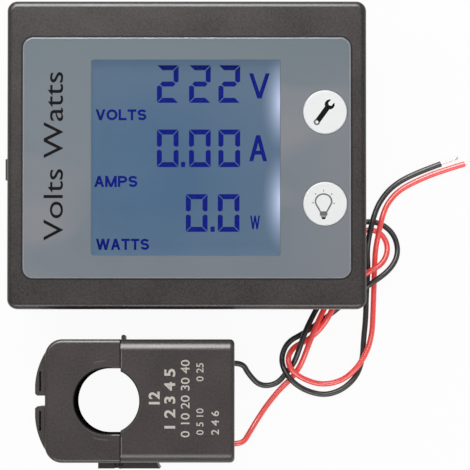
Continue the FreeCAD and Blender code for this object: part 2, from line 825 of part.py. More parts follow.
def ct_cap_shell():
    """Swinging half of the transformer's case."""
    body = raise_face(cap_outline(cap_body_left, ct_height / 2, cap_corner, cap_face), 0, ct_thickness)
    body = body.makeFillet(cap_edge, cap_rim(body, 0) + cap_rim(body, ct_thickness))
    body = merge([body, grip(-1), grip(1)]).cut(bore_space(0, -1, ct_thickness + 1))
    body = body.makeFillet(bore_lip, bore_rims(body)).cut(cap_room(-1, ct_thickness - face_wall, 0))
    body = body.cut(core_windows(cap_face - split_wall - 1, cap_face + 1, core_gap))
    ribs = rest_ribs(cap_room(0, ct_thickness, 0), cap_rib_places(), core_top, ct_thickness - face_wall)
    body = merge([body] + ribs)
    body = body.cut(latch_space(ridge_floor, split_x - latch_nose - latch_gap, cap_face + 1))
    ridge_x = split_x - latch_nose + tooth_length + latch_gap
    ridge = block(ridge_x, ridge_x + ridge_length, ridge_floor, ridge_floor + ridge_height,
                  latch_z[0], latch_z[1])
    return hinged(merge([body, ridge]), "cap")


def base_room(z0, z1, shrink):
    """Hollow of the base for the fixed core half and its winding."""
    room = block(base_face + split_wall + shrink, ct_right - end_wall - shrink,
                 ct_centre_y - room_half + shrink, ct_centre_y + room_half - shrink, z0, z1)
    return room.cut(post(bore_radius + bore_wall + shrink, bore_x, ct_centre_y, z0, z1))


def ct_base_shell():
    """Fixed half of the transformer's case, with well rounded long edges on its upper face."""
    body = block(base_face, ct_right, ct_bottom, ct_top, 0, ct_thickness)
    long_edges = [e for e in rim(body, ct_thickness) if abs(e.Vertexes[0].X - e.Vertexes[-1].X) > 1]
    body = body.makeFillet(base_edge, long_edges)
    end = [e for e in body.Edges if all(abs(v.X - ct_right) < 1e-6 for v in e.Vertexes)]
    body = body.makeFillet(base_end_edge, end)
    body = body.cut(post(bore_radius, bore_x, ct_centre_y, -1, ct_thickness + 1))
    body = body.makeFillet(bore_lip, bore_rims(body)).cut(base_room(-1, ct_thickness - face_wall, 0))
    body = body.cut(core_windows(base_face - 1, base_face + split_wall + 1, core_gap))
    ribs = rest_ribs(base_room(0, ct_thickness, 0), base_rib_places(), core_top, ct_thickness - face_wall)
    body = merge([body] + ribs)
    for route in (black_route, red_route):
        inside = Vec(ct_right - end_wall - 1, route[0][1], lead_exit_z)
        body = body.cut(Part.makeCylinder(lead_radius, end_wall + 2, inside, Vec(1, 0, 0)))
    root = split_x + latch_length + latch_thickness / 2 + latch_gap
    body = body.cut(latch_space(latch_floor, base_face - 1, root))
    return hinged(body, "base")


def ct_cover(room, rib_places):
    """Plate that closes a shell's underside and carries the core on its ribs."""
    plate = room(0, cover_thickness, cover_gap)
    ribs = rest_ribs(room(cover_thickness, core_z, cover_gap), rib_places, cover_thickness, core_z)
    return merge([plate] + ribs)


# Transformer core, winding, hinge pin and latch

def core_half(yoke_x, face_x):
    """U of laminated strip: two legs that reach the split and a yoke across them."""
    low, high = sorted((yoke_x, face_x))
    body = block(low, high, ct_centre_y - core_outer, ct_centre_y + core_outer, core_z, core_top)
    far = [e for e in uprights(body) if abs(e.Vertexes[0].X - yoke_x) < 1e-6]
    body = body.makeFillet(core_corner, far)
    yoke_inner = yoke_x + core_leg if yoke_x < face_x else yoke_x - core_leg
    low, high = sorted((yoke_inner, face_x + (face_x - yoke_x)))
    return body.cut(block(low, high, ct_centre_y - core_inner, ct_centre_y + core_inner,
                          core_z - 1, core_top + 1))


def yoke_sleeve(grow):
    """Round-cornered bar round the fixed yoke, wider all round by a distance."""
    width, height = core_leg + 2 * grow, core_depth + 2 * grow
    half = core_inner - bobbin_clear
    bar = block(core_yoke_x - core_leg - grow, core_yoke_x - core_leg - grow + width,
                ct_centre_y - half, ct_centre_y + half, core_z - grow, core_z - grow + height)
    along = [e for e in bar.Edges if abs(e.Vertexes[0].Y - e.Vertexes[-1].Y) > 1]
    return bar.makeFillet(grow * 0.8, along)


def ct_bobbin():
    """Spool on the yoke with a flange at each end."""
    flange_grow = bobbin_clear + bobbin_wall + winding_thickness + bobbin_flange / 2
    spool = yoke_sleeve(flange_grow)
    half = core_inner - bobbin_clear - bobbin_flange
    waist = block(-ct_length, ct_length, ct_centre_y - half, ct_centre_y + half, 0, ct_thickness)
    spool = spool.cut(waist.cut(yoke_sleeve(bobbin_clear + bobbin_wall)))
    return spool.cut(yoke_sleeve(bobbin_clear))


def ct_winding():
    """Winding between the bobbin's flanges, as one closed ring of wire."""
    half = core_inner - bobbin_clear - bobbin_flange
    waist = block(-ct_length, ct_length, ct_centre_y - half, ct_centre_y + half, 0, ct_thickness)
    ring = yoke_sleeve(bobbin_clear + bobbin_wall + winding_thickness)
    return ring.cut(yoke_sleeve(bobbin_clear + bobbin_wall)).common(waist)


def hinge_pin():
    """Steel pin through the three knuckles."""
    return post(pin_radius, split_x, pin_y, hinge_z[0] + pin_end_gap, hinge_z[1] - pin_end_gap)


def ct_latch():
    """Sprung tongue on the base; its tooth lies past the cap's ridge and a nail lifts it by its nib."""
    low = latch_top - latch_thickness
    nose, root = split_x - latch_nose, split_x + latch_length
    z0, z1 = latch_z
    tongue = block(nose, root, low, latch_top, z0, z1)
    round_root = post(latch_thickness / 2, root, (low + latch_top) / 2, z0, z1)
    tooth = prism([(nose, low), (nose, low - tooth_depth), (nose + tooth_length / 2, low - tooth_depth),
                   (nose + tooth_length, low)], z0, z1)
    nib_round = ct_top + nib_height - nib_width / 2
    nib = merge([block(split_x, split_x + nib_width, low, nib_round, z0, z1),
                 post(nib_width / 2, split_x + nib_width / 2, nib_round, z0, z1)])
    return merge([tongue, round_root, tooth, nib])


# Leads

def lead_path(route):
    """Straight runs joined by tangent arcs, each arc as large as its two runs allow."""
    points = [Vec(*p) for p in route]
    edges = []
    start = points[0]
    radii = []
    for before, corner, after in zip(points, points[1:], points[2:]):
        back, ahead = before - corner, after - corner
        reach = 0.45 * min(back.Length, ahead.Length)
        back.normalize()
        ahead.normalize()
        half_turn = (math.pi - back.getAngle(ahead)) / 2
        radius = reach / math.tan(half_turn)
        radii.append(round(radius, 1))
        arc_start, arc_end = corner + back * reach, corner + ahead * reach
        inward = back + ahead
        inward.normalize()
        arc_middle = corner + inward * (radius / math.cos(half_turn) - radius)
        edges.append(Part.LineSegment(start, arc_start).toShape())
        edges.append(Part.Arc(arc_start, arc_middle, arc_end).toShape())
        start = arc_end
    edges.append(Part.LineSegment(start, points[-1]).toShape())
    return Part.Wire(edges), radii


def lead(name, route):
    """Round insulated lead along its path; prints its bend radii and checks its volume."""
    path, radii = lead_path(route)
    direction = Vec(*route[1]) - Vec(*route[0])
    section = Part.Wire(Part.makeCircle(lead_radius, Vec(*route[0]), direction))
    tube = path.makePipeShell([section], True, False)
    expected = math.pi * lead_radius ** 2 * path.Length
    print(name, "length", round(path.Length, 1), "volume ratio", round(tube.Volume / expected, 4))
    print(name, "bend radii", radii)
    return tube


def bare_tip(route):
    """Twisted and tinned end of a lead."""
    end = Vec(*route[-1])
    along = end - Vec(*route[-2])
    return Part.makeCylinder(tip_radius, tip_length, end, along)


def lead_tail(route):
    """Inner end of a lead, from beside the winding to the outside of the end wall."""
    start = Vec(ct_right - tail_length, route[0][1], lead_exit_z)
    return Part.makeCylinder(lead_radius, tail_length, start, Vec(1, 0, 0))


# Build every node

os.makedirs("parts", exist_ok=True)

save("front_bezel", front_bezel())
save("overlay_film", overlay_film())
save("display_window", display_window())
save("display_glass", display_glass())
save("display_holder", display_holder())
save("backlight_guide", backlight_guide())
save("backlight_lamps", *backlight_lamps(0))
save("contact_strip", contact_strip())
save("main_board", main_board())
save("board_screws", *[board_screw(x, y) for x, y in screw_places()])
save("key_switches", *[key_switch(y) for y in button_places.values()])
for button, place in button_places.items():
    save(button + "_button", push_button(place))
    save(button + "_plunger", key_plunger(place))
save("film_capacitor", film_capacitor())
save("electrolytic_capacitor", electrolytic_capacitor())
save("varistor", varistor())
save("metering_chip", chip(metering_chip_place, metering_chip_size, metering_chip_pitch))
save("controller_chip", chip(controller_chip_place, controller_chip_size, controller_chip_pitch))
save("rear_housing", rear_housing())
for side, name in ((-1, "left"), (1, "right")):
    save("panel_clip_" + name, panel_clip(side, clip_barb[name]))
save("terminal_block", terminal_block())
save("terminal_contacts", *[terminal_contact(y) for y in pole_places])
for number, place in enumerate(pole_places, 1):
    save("terminal_screw_%d" % number, terminal_screw(place))
    save("terminal_clamp_%d" % number, terminal_clamp(place))

save("ct_base_shell", ct_base_shell())
save("ct_cap_shell", ct_cap_shell())
save("ct_base_cover", ct_cover(base_room, base_rib_places()))
save("ct_cap_cover", ct_cover(cap_room, cap_rib_places()))
save("ct_base_core", core_half(core_yoke_x, base_face))
save("ct_cap_core", core_half(cap_body_left + end_wall + core_clear, cap_face))
save("ct_bobbin", ct_bobbin())
save("ct_winding", ct_winding())
save("ct_hinge_pin", hinge_pin())
save("ct_latch", ct_latch())
for colour, route in (("black", black_route), ("red", red_route)):
    save(colour + "_lead", lead(colour + "_lead", route))
    save(colour + "_tip", bare_tip(route))
    save(colour + "_tail", lead_tail(route))
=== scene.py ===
"""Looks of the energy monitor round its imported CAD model: materials, prints, leads, light and camera."""
import bmesh
import bpy
import json
import math
import random
from mathutils import Matrix, Vector


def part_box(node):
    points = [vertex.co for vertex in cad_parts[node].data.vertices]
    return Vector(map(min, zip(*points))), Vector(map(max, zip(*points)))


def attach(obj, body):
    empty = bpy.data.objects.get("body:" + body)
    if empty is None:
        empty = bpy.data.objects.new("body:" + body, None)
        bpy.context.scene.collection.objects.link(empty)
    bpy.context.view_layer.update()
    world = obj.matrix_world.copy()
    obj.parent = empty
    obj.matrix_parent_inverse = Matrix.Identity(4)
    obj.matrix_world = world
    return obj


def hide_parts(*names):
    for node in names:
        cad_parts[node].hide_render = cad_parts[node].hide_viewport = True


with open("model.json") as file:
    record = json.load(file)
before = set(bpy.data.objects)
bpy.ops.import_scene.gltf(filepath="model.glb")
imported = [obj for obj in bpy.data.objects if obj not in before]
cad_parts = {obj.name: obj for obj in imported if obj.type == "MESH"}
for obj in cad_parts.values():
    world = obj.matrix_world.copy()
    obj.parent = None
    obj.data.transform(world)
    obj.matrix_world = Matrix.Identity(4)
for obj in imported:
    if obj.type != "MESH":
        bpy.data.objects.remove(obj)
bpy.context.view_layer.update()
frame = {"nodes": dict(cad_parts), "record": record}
nodes = frame["nodes"]
MM = 0.001
random_seed = 7
random.seed(random_seed)


# Camera: straight above, at the photograph's distance

camera_place = (10.61, -52.70, 1000.0)
camera_target = (11.81, -19.74, 27.0)
camera_lens = 305.55
camera_sensor = 36.0
camera_reach = (0.01, 20.0)


def make_camera():
    """Camera that looks down on the object, with the top of the display at the top of the picture."""
    data = bpy.data.cameras.new("camera")
    data.lens = camera_lens
    data.sensor_width = camera_sensor
    data.clip_start, data.clip_end = camera_reach
    camera = bpy.data.objects.new("camera", data)
    bpy.context.scene.collection.objects.link(camera)
    place, target = Vector(camera_place) * MM, Vector(camera_target) * MM
    back = (place - target).normalized()
    right = Vector((0, 1, 0)).cross(back).normalized()
    turn = Matrix((right, back.cross(right), back)).transposed()
    camera.matrix_world = Matrix.Translation(place) @ turn.to_4x4()
    bpy.context.scene.camera = camera


# Nodes

noise_span = (0.3, 0.7)
whole = (0.0, 1.0)
black = (0.0, 0.0, 0.0, 1.0)
white = (1.0, 1.0, 1.0, 1.0)


def srgb(red, green, blue):
    """Linear colour from 0 to 255 values as they look on a screen."""
    def linear(value):
        value = value / 255
        return value / 12.92 if value <= 0.04045 else ((value + 0.055) / 1.055) ** 2.4
    return (linear(red), linear(green), linear(blue), 1.0)


def scaled(colour, factor):
    """Colour made lighter or darker by a factor."""
    return (colour[0] * factor, colour[1] * factor, colour[2] * factor, 1.0)


def fill(tree, node, inputs):
    """Links on a node's sockets where an input is another node's result, and plain values on the rest."""
    for name, value in inputs.items():
        if isinstance(value, bpy.types.NodeSocket):
            tree.links.new(value, node.inputs[name])
        else:
            node.inputs[name].default_value = value


def add(tree, kind, inputs, **settings):
    """New node with its settings and inputs."""
    node = tree.nodes.new(kind)
    for name, value in settings.items():
        setattr(node, name, value)
    fill(tree, node, inputs)
    return node


def object_place(tree):
    """Place in the object, in metres."""
    return tree.nodes.new("ShaderNodeTexCoord").outputs["Object"]


def compute(tree, operation, *values):
    """Result of a calculation with numbers."""
    return add(tree, "ShaderNodeMath", dict(enumerate(values)), operation=operation).outputs["Value"]


def compute_vector(tree, operation, *values):
    """Result of a calculation with vectors."""
    node = add(tree, "ShaderNodeVectorMath", dict(enumerate(values)), operation=operation)
    return node.outputs["Value" if operation == "LENGTH" else "Vector"]


def reach_from(tree, place, centre, shape=(1.0, 1.0, 1.0)):
    """Distance in metres from a centre given in millimetres, with each axis stretched by a shape."""
    offset = compute_vector(tree, "SUBTRACT", place, tuple(Vector(centre) * MM))
    return compute_vector(tree, "LENGTH", compute_vector(tree, "MULTIPLY", offset, shape))


def noise(tree, place, size, detail=3.0):
    """Noise whose features are about one size, in metres."""
    values = {"Vector": place, "Scale": 1 / size, "Detail": detail}
    return add(tree, "ShaderNodeTexNoise", values).outputs["Fac"]


def ramp(tree, factor, low, high, span=noise_span):
    """Number between two values, reached where a factor is at either end of a span."""
    values = {"Value": factor, "From Min": span[0], "From Max": span[1], "To Min": low, "To Max": high}
    return add(tree, "ShaderNodeMapRange", values).outputs["Result"]


def blend(tree, factor, first, second):
    """Colour that goes from the first to the second as a factor goes from 0 to 1."""
    return add(tree, "ShaderNodeMix", {0: factor, 6: first, 7: second}, data_type="RGBA").outputs[2]


def blend_number(tree, factor, first, second):
    """Number that goes from the first to the second as a factor goes from 0 to 1."""
    return add(tree, "ShaderNodeMix", {0: factor, 2: first, 3: second}, data_type="FLOAT").outputs[0]


def shade(tree, factor, dark, light, span=noise_span):
    """Colour between two colours that follows a factor over a span."""
    return blend(tree, ramp(tree, factor, 0.0, 1.0, span), dark, light)


def start_material(name):
    """New material, its node tree, its shader and its place in the object, in metres."""
    material = bpy.data.materials.new(name)
    material.use_nodes = True
    tree = material.node_tree
    return material, tree, tree.nodes["Principled BSDF"], object_place(tree)


def relief(tree, height, depth, strength):
    """Direction of a surface with fine relief, whose depth is in metres."""
    values = {"Height": height, "Distance": depth, "Strength": strength}
    return add(tree, "ShaderNodeBump", values).outputs["Normal"]


# Plain materials, with sizes and depths in metres

cloud_size = 0.011
cloud_share = 0.2
grain_detail = 5.0
grain_span = (0.4, 0.8)
grain_strength = 0.6
gloss_spread = 0.03
streak_stretch = (0.15, 1.0, 1.0)
streak_detail = 4.0
streak_tones = (0.85, 1.1)
streak_gloss = (-0.08, 0.1)
streak_depth = 0.000005
streak_strength = 0.4
ink_spot = 0.0004
ink_tone = 0.88
ink_roughness = 0.6
haze_size = 0.004
haze_tone = 0.97
haze_gloss = 0.05
clear_specular = 0.3
mark_size = 0.0012
mark_tones = (0.86, 1.08)
soft_roughness = (0.36, 0.44)
coat_roughness = 0.3


def moulded(name, colour, roughness=0.5, mottle=0.08, grain=0.0005, depth=0.00003, specular=0.5):
    """Moulded plastic: spark-eroded grain, slow colour clouds, fine mottle and uneven gloss."""
    material, tree, shader, place = start_material(name)
    clouds = noise(tree, place, cloud_size)
    fine = noise(tree, place, grain, grain_detail)
    both = compute(tree, "MULTIPLY_ADD", clouds, cloud_share, fine)
    fill(tree, shader, {
        "Base Color": shade(tree, both, scaled(colour, 1 - mottle), scaled(colour, 1 + mottle), grain_span),
        "Roughness": ramp(tree, clouds, roughness - gloss_spread, roughness + gloss_spread),
        "Normal": relief(tree, fine, depth, grain_strength),
        "Specular IOR Level": specular})
    return material


def metal(name, colour, roughness=0.3, streak=0.0004):
    """Drawn or plated metal with fine streaks along X."""
    material, tree, shader, place = start_material(name)
    stretch = add(tree, "ShaderNodeMapping", {"Vector": place, "Scale": streak_stretch})
    streaks = noise(tree, stretch.outputs["Vector"], streak, streak_detail)
    dark, light = [scaled(colour, tone) for tone in streak_tones]
    low, high = [roughness + change for change in streak_gloss]
    fill(tree, shader, {
        "Base Color": shade(tree, streaks, dark, light),
        "Roughness": ramp(tree, streaks, low, high),
        "Normal": relief(tree, streaks, streak_depth, streak_strength),
        "Metallic": 1.0})
    return material


def printed(name, colour, specular=0.5):
    """Screen print: nearly flat ink with small thin spots."""
    material, tree, shader, place = start_material(name)
    fill(tree, shader, {
        "Base Color": shade(tree, noise(tree, place, ink_spot), scaled(colour, ink_tone), colour),
        "Roughness": ink_roughness,
        "Specular IOR Level": specular})
    return material


def clear(name, tint, alpha, roughness):
    """Clear plastic sheet, seen mostly by its gloss."""
    material, tree, shader, place = start_material(name)
    haze = noise(tree, place, haze_size)
    fill(tree, shader, {
        "Base Color": shade(tree, haze, scaled(tint, haze_tone), tint),
        "Roughness": ramp(tree, haze, roughness, roughness + haze_gloss),
        "Alpha": alpha,
        "Specular IOR Level": clear_specular})
    return material


def insulation(name, colour, specular, coat, glow):
    """Soft wire insulation: waxy gloss, faint marks, and a painted glow that brightens it."""
    material, tree, shader, place = start_material(name)
    marks = noise(tree, place, mark_size)
    dark, light = [scaled(colour, tone) for tone in mark_tones]
    fill(tree, shader, {
        "Base Color": shade(tree, marks, dark, light),
        "Roughness": ramp(tree, marks, *soft_roughness),
        "Specular IOR Level": specular,
        # Painted light: emission that makes the insulation glow brighter, though it is no lamp.
        "Emission Color": colour,
        "Emission Strength": glow,
        "Coat Weight": coat,
        "Coat Roughness": coat_roughness})
    return material


# Transformer plastic, with places in millimetres

bore_centre = (-19.4, -60.2)
bore_radius = 8.0
bore_lip = 0.4
lip_shade_tone = 0.12
lip_roughness = 0.95


def ct_material(colour):
    """Moulded plastic of the transformer, matt on the rounded lip of its bore, with painted shade that
    darkens that lip.
    """
    material = moulded("ct_plastic", colour, roughness=0.32, mottle=0.42, depth=0.000008)
    tree = material.node_tree
    shader = tree.nodes["Principled BSDF"]
    reach = reach_from(tree, object_place(tree), (*bore_centre, 0.0), (1.0, 1.0, 0.0))
    # Painted shade: the rounded lip of the bore is darkened to a small share of the plastic's colour.
    lip = ramp(tree, reach, 1.0, 0.0, ((bore_radius + bore_lip / 2) * MM, (bore_radius + bore_lip) * MM))
    tone, gloss = [shader.inputs[name].links[0].from_socket for name in ("Base Color", "Roughness")]
    fill(tree, shader, {
        "Base Color": blend(tree, lip, tone, scaled(colour, lip_shade_tone)),
        "Roughness": blend_number(tree, lip, gloss, lip_roughness)})
    return material


# Overlay film: a tone along Y, a painted sheen along X and paler patches of painted reflection, with spans
# and sizes in metres

film_cloud = 0.02
film_tones = (srgb(113, 124, 132), srgb(119, 127, 136))
film_side_sheen = ("X", (0.024, 0.042), srgb(127, 130, 138))
film_top = ("Y", (0.006, 0.030), srgb(102, 116, 125))
patch_size = 0.028
patch_detail = 1.0
patch_offset = (0.05, 0.01, 0.04)
patch_stretch = (0.6, 1.4, 1.0)
patch_span = (0.52, 0.63)
patch_share = 0.85
reflection_patch_tone = srgb(134, 136, 142)
satin_size = 0.00018
satin_detail = 2.0
satin_roughness = (0.3, 0.36)
satin_depth = 0.000006
satin_strength = 0.6


def overlay_material():
    """Printed film: blue-grey ink under a satin surface, darker and cooler at the top, with a painted sheen
    that makes it paler and warmer by the buttons, and paler patches of painted reflection.
    """
    material, tree, shader, place = start_material("overlay_film")
    along = add(tree, "ShaderNodeSeparateXYZ", {"Vector": place})
    tone = shade(tree, noise(tree, place, film_cloud), *film_tones)
    # Darker and cooler towards the top; a painted sheen makes it paler and warmer towards the buttons.
    for axis, span, end_tone in (film_side_sheen, film_top):
        tone = shade(tree, along.outputs[axis], tone, end_tone, span)
    # Painted reflection: paler patches where soft reflections lie.
    moved = {"Vector": place, "Location": patch_offset, "Scale": patch_stretch}
    drift = add(tree, "ShaderNodeMapping", moved).outputs["Vector"]
    reflection_patches = noise(tree, drift, patch_size, patch_detail)
    tone = blend(tree, ramp(tree, reflection_patches, 0.0, patch_share, patch_span), tone, reflection_patch_tone)
    fine = noise(tree, place, satin_size, satin_detail)
    fill(tree, shader, {
        "Base Color": tone,
        "Roughness": ramp(tree, fine, *satin_roughness),
        "Normal": relief(tree, fine, satin_depth, satin_strength)})
    return material


# Display cell: places in millimetres, spans and sizes in metres

cell_height = 21.4
cell_cloud = 0.016
cell_tones = (srgb(66, 97, 128), srgb(73, 103, 132))
cell_rim_tone = srgb(90, 110, 130)
cell_rim_span = (0.01, 0.04)
lit_centre = (-8.0, -4.0, cell_height)
cell_lamps = [(23.3, 13.1, cell_height), (23.3, -11.3, cell_height)]
glow_shape = (1.35, 0.55, 1.0)
glow_reach = 7.0
glow_fall = 1.6
glow_tone = srgb(196, 208, 240)
glow_strengths = (0.8, 1.0)
cell_dimming = 0.7
window_centre = (-0.25, -0.65, 0.0)
window_half = (23.25, 24.05)
fringe_start = 0.89
fringe_glow = 0.16
cell_roughness = 0.4
cell_specular = 0.2


def lamp_glow(tree, place):
    """One at the display's two lamps, falling to none a little way off."""
    glows = []
    for lamp in cell_lamps:
        near = ramp(tree, reach_from(tree, place, lamp, glow_shape), 1.0, 0.0, (0.0, glow_reach * MM))
        glows.append(compute(tree, "POWER", near, glow_fall))
    return compute(tree, "MAXIMUM", *glows)


def window_fringe(tree, place):
    """Painted extra light that grows from a little way inside the window to its edge, lifting the shade the
    window's recess casts on the cell.
    """
    offset = compute_vector(tree, "SUBTRACT", place, tuple(Vector(window_centre) * MM))
    share = compute_vector(tree, "DIVIDE", offset, (*(Vector(window_half) * MM), 1.0))
    sides = add(tree, "ShaderNodeSeparateXYZ", {"Vector": compute_vector(tree, "ABSOLUTE", share)})
    outward = compute(tree, "MAXIMUM", sides.outputs["X"], sides.outputs["Y"])
    return ramp(tree, outward, 0.0, fringe_glow, (fringe_start, 1.0))


def display_material():
    """Lit liquid crystal cell: blue-grey, paler round its rim, with two lamps glowing at its right edge."""
    material, tree, shader, place = start_material("display_cell")
    tone = shade(tree, noise(tree, place, cell_cloud), *cell_tones)
    tone = shade(tree, reach_from(tree, place, lit_centre), tone, cell_rim_tone, cell_rim_span)
    glow = lamp_glow(tree, place)
    # The fringe adds painted light against the shade of the window's recess.
    strength = compute(tree, "ADD", ramp(tree, glow, *glow_strengths, whole), window_fringe(tree, place))
    fill(tree, shader, {
        "Base Color": blend(tree, cell_dimming, tone, black),
        "Emission Color": blend(tree, glow, tone, glow_tone),
        "Emission Strength": strength,
        "Roughness": cell_roughness,
        "Specular IOR Level": cell_specular})
    return material


# Board and winding, with scales per metre and depths in metres

track_scale = 180.0
track_tones = (srgb(38, 110, 70), srgb(22, 82, 50))
track_span = (0.02, 0.06)
lacquer_roughness = 0.35
turn_scale = 900.0
turn_waver = 0.4
turn_tones = (srgb(120, 52, 22), srgb(196, 106, 58))
turn_span = (0.1, 0.9)
turn_depth = 0.00005
turn_strength = 0.8
copper_share = 0.8


def board_material():
    """Solder resist over copper: slightly lighter where the tracks run."""
    material, tree, shader, place = start_material("board_green")
    tracks = add(tree, "ShaderNodeTexVoronoi", {"Vector": place, "Scale": track_scale},
                 feature="DISTANCE_TO_EDGE").outputs["Distance"]
    fill(tree, shader, {
        "Base Color": shade(tree, tracks, *track_tones, track_span),
        "Roughness": lacquer_roughness})
    return material


def winding_material():
    """Lacquered copper wire, turn beside turn along Y."""
    material, tree, shader, place = start_material("winding_copper")
    turns = add(tree, "ShaderNodeTexWave", {"Vector": place, "Scale": turn_scale, "Distortion": turn_waver},
                bands_direction="Y").outputs["Fac"]
    fill(tree, shader, {
        "Base Color": shade(tree, turns, *turn_tones, turn_span),
        "Normal": relief(tree, turns, turn_depth, turn_strength),
        "Metallic": copper_share,
        "Roughness": lacquer_roughness})
    return material


# Materials of the CAD nodes, by their slots

slot_materials = {
    "bezel_plastic": moulded("bezel_plastic", srgb(40, 33, 31), roughness=0.31, mottle=0.98, depth=0.000015),
    "housing_plastic": moulded("housing_plastic", srgb(62, 59, 58), roughness=0.4),
    "overlay_film": overlay_material(),
    "window_clear": clear("window_clear", srgb(70, 80, 96), alpha=0.05, roughness=0.15),
    "display_cell": display_material(),
    "holder_plastic": moulded("holder_plastic", srgb(228, 228, 222), roughness=0.6, mottle=0.03),
    "lamp": moulded("lamp", srgb(252, 246, 214), roughness=0.35, mottle=0.02),
    "contact_rubber": moulded("contact_rubber", srgb(34, 34, 34), roughness=0.8),
    "board_green": board_material(),
    "button_plastic": moulded("button_plastic", srgb(246, 248, 248), roughness=0.4, mottle=0.012,
                              grain=0.0003, depth=0.000004),
    "switch_plastic": moulded("switch_plastic", srgb(30, 30, 31)),
    "plunger_plastic": moulded("plunger_plastic", srgb(190, 60, 46)),
    "film_capacitor": moulded("film_capacitor", srgb(226, 184, 66), roughness=0.4, mottle=0.04),
    "can_sleeve": moulded("can_sleeve", srgb(48, 56, 78), roughness=0.35, mottle=0.04),
    "varistor_coating": moulded("varistor_coating", srgb(40, 84, 160), roughness=0.35, mottle=0.06),
    "steel": metal("steel", srgb(190, 190, 192)),
    "terminal_plastic": moulded("terminal_plastic", srgb(58, 128, 84), roughness=0.45, mottle=0.06),
    "contact_metal": metal("contact_metal", srgb(214, 190, 128)),
    "ct_plastic": ct_material(srgb(55, 45, 45)),
    "core_steel": metal("core_steel", srgb(110, 108, 106), roughness=0.45, streak=0.0002),
    "bobbin_plastic": moulded("bobbin_plastic", srgb(222, 214, 192)),
    "winding_copper": winding_material(),
    "black_insulation": insulation("black_insulation", srgb(38, 40, 38), specular=0.5, coat=0.15, glow=0.0),
    # The red lead's glow is painted light that brightens it.
    "red_insulation": insulation("red_insulation", srgb(252, 72, 67), specular=0.7, coat=0.6, glow=0.25),
    "tinned_copper": metal("tinned_copper", srgb(196, 194, 190), roughness=0.38, streak=0.0002),
}
node_materials = {"ct_hinge_pin": metal("blackened_steel", srgb(62, 60, 59), roughness=0.5)}
for row in frame["record"]["subparts"]:
    slots = nodes[row["node"]].data.materials
    slots.clear()
    slots.append(node_materials.get(row["node"], slot_materials[row["material_slot"]]))


# Leads: each a NURBS line on the CAD route's control points, in millimetres

lead_diameter = 1.4
black_route = [
    (11.7, -51.0, 4.5), (13.8, -51.0, 4.5), (15.1, -53.5, 2.4), (18.0, -56.7, 0.8),
    (22.2, -56.3, 0.7), (24.8, -53.3, 0.7), (26.8, -50.6, 0.9), (27.9, -47.4, 2.7), (29.4, -43.0, 2.9),
    (31.3, -39.1, 1.0), (34.1, -34.1, 0.7), (36.3, -25.5, 0.7), (39.3, -19.1, 0.7), (42.8, -15.6, 0.7),
    (47.9, -15.5, 0.7), (51.8, -18.6, 0.7), (52.9, -23.5, 0.9), (50.6, -27.8, 2.7), (44.8, -31.8, 2.9),
    (41.1, -34.2, 0.9), (37.2, -37.6, 0.7), (33.0, -40.7, 0.7), (29.0, -43.5, 0.7), (25.0, -45.6, 0.7),
    (23.3, -49.5, 1.1), (24.2, -53.2, 2.8), (26.8, -56.2, 2.8), (30.2, -58.1, 0.9), (34.5, -59.0, 0.7),
    (38.8, -57.6, 0.7), (42.3, -54.3, 0.7), (43.8, -49.9, 0.7), (44.0, -45.4, 0.7), (44.6, -39.6, 0.7),
    (44.7, -33.6, 0.7), (45.2, -27.5, 0.7), (44.9, -23.0, 1.0), (45.4, -19.0, 2.7), (46.4, -14.7, 2.8),
    (47.9, -10.8, 1.0), (51.0, -6.8, 0.7), (56.3, -3.6, 0.7), (63.5, -1.0, 0.7)]
red_route = [
    (11.7, -71.0, 4.5), (13.8, -71.0, 4.5), (15.5, -68.2, 2.3), (17.5, -64.9, 0.8),
    (19.9, -61.3, 0.7), (23.1, -57.4, 0.7), (26.1, -54.7, 0.7), (28.4, -51.3, 0.9), (29.8, -47.5, 2.7),
    (32.1, -41.6, 2.9), (34.1, -37.5, 1.3), (36.2, -33.4, 0.7), (38.3, -26.5, 0.7), (40.7, -20.4, 0.7),
    (43.8, -17.4, 0.7), (48.2, -17.9, 0.7), (50.4, -21.7, 0.8), (49.0, -26.1, 2.7), (44.7, -28.4, 2.9),
    (41.6, -31.2, 1.2), (38.6, -34.1, 1.0), (36.3, -37.1, 2.7), (34.9, -40.1, 2.7), (32.6, -43.1, 0.9),
    (29.7, -45.4, 0.7), (26.6, -46.8, 0.9), (24.9, -49.5, 2.6), (25.7, -52.7, 2.9), (29.0, -55.0, 1.4),
    (33.5, -56.4, 0.7), (38.3, -55.5, 0.9), (41.9, -52.7, 2.6), (44.7, -48.5, 2.7), (46.1, -44.0, 0.9),
    (46.4, -39.1, 0.7), (46.6, -33.3, 0.7), (46.8, -27.0, 0.7), (47.0, -22.5, 1.0), (47.8, -18.2, 2.7),
    (48.7, -14.2, 2.8), (50.1, -10.8, 1.0), (53.1, -7.5, 0.7), (58.2, -4.9, 0.7), (63.8, -2.7, 0.7),
    (69.5, -1.0, 0.7)]
lead_rounding = 5
strand_count = 7
strand_length = 5.3
strand_shortest = 0.86
strand_start = -0.3
strand_radius = 0.13
strand_rounding = 2
strand_ring = 0.24
strand_turns = 0.8
strand_steps = 8
strand_spread = 0.5
line_order = 3
line_resolution = 10


def make_object(name, data, material, body):
    """Object with its material, riding on a CAD body."""
    thing = bpy.data.objects.new(name, data)
    bpy.context.scene.collection.objects.link(thing)
    data.materials.append(material)
    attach(thing, body)
    return thing


def round_curve(name, radius, rounding):
    """Empty curve that is drawn as a closed round bar, with its radius in millimetres."""
    curve = bpy.data.curves.new(name, "CURVE")
    curve.dimensions = "3D"
    curve.bevel_depth = radius * MM
    curve.bevel_resolution = rounding
    curve.use_fill_caps = True
    return curve


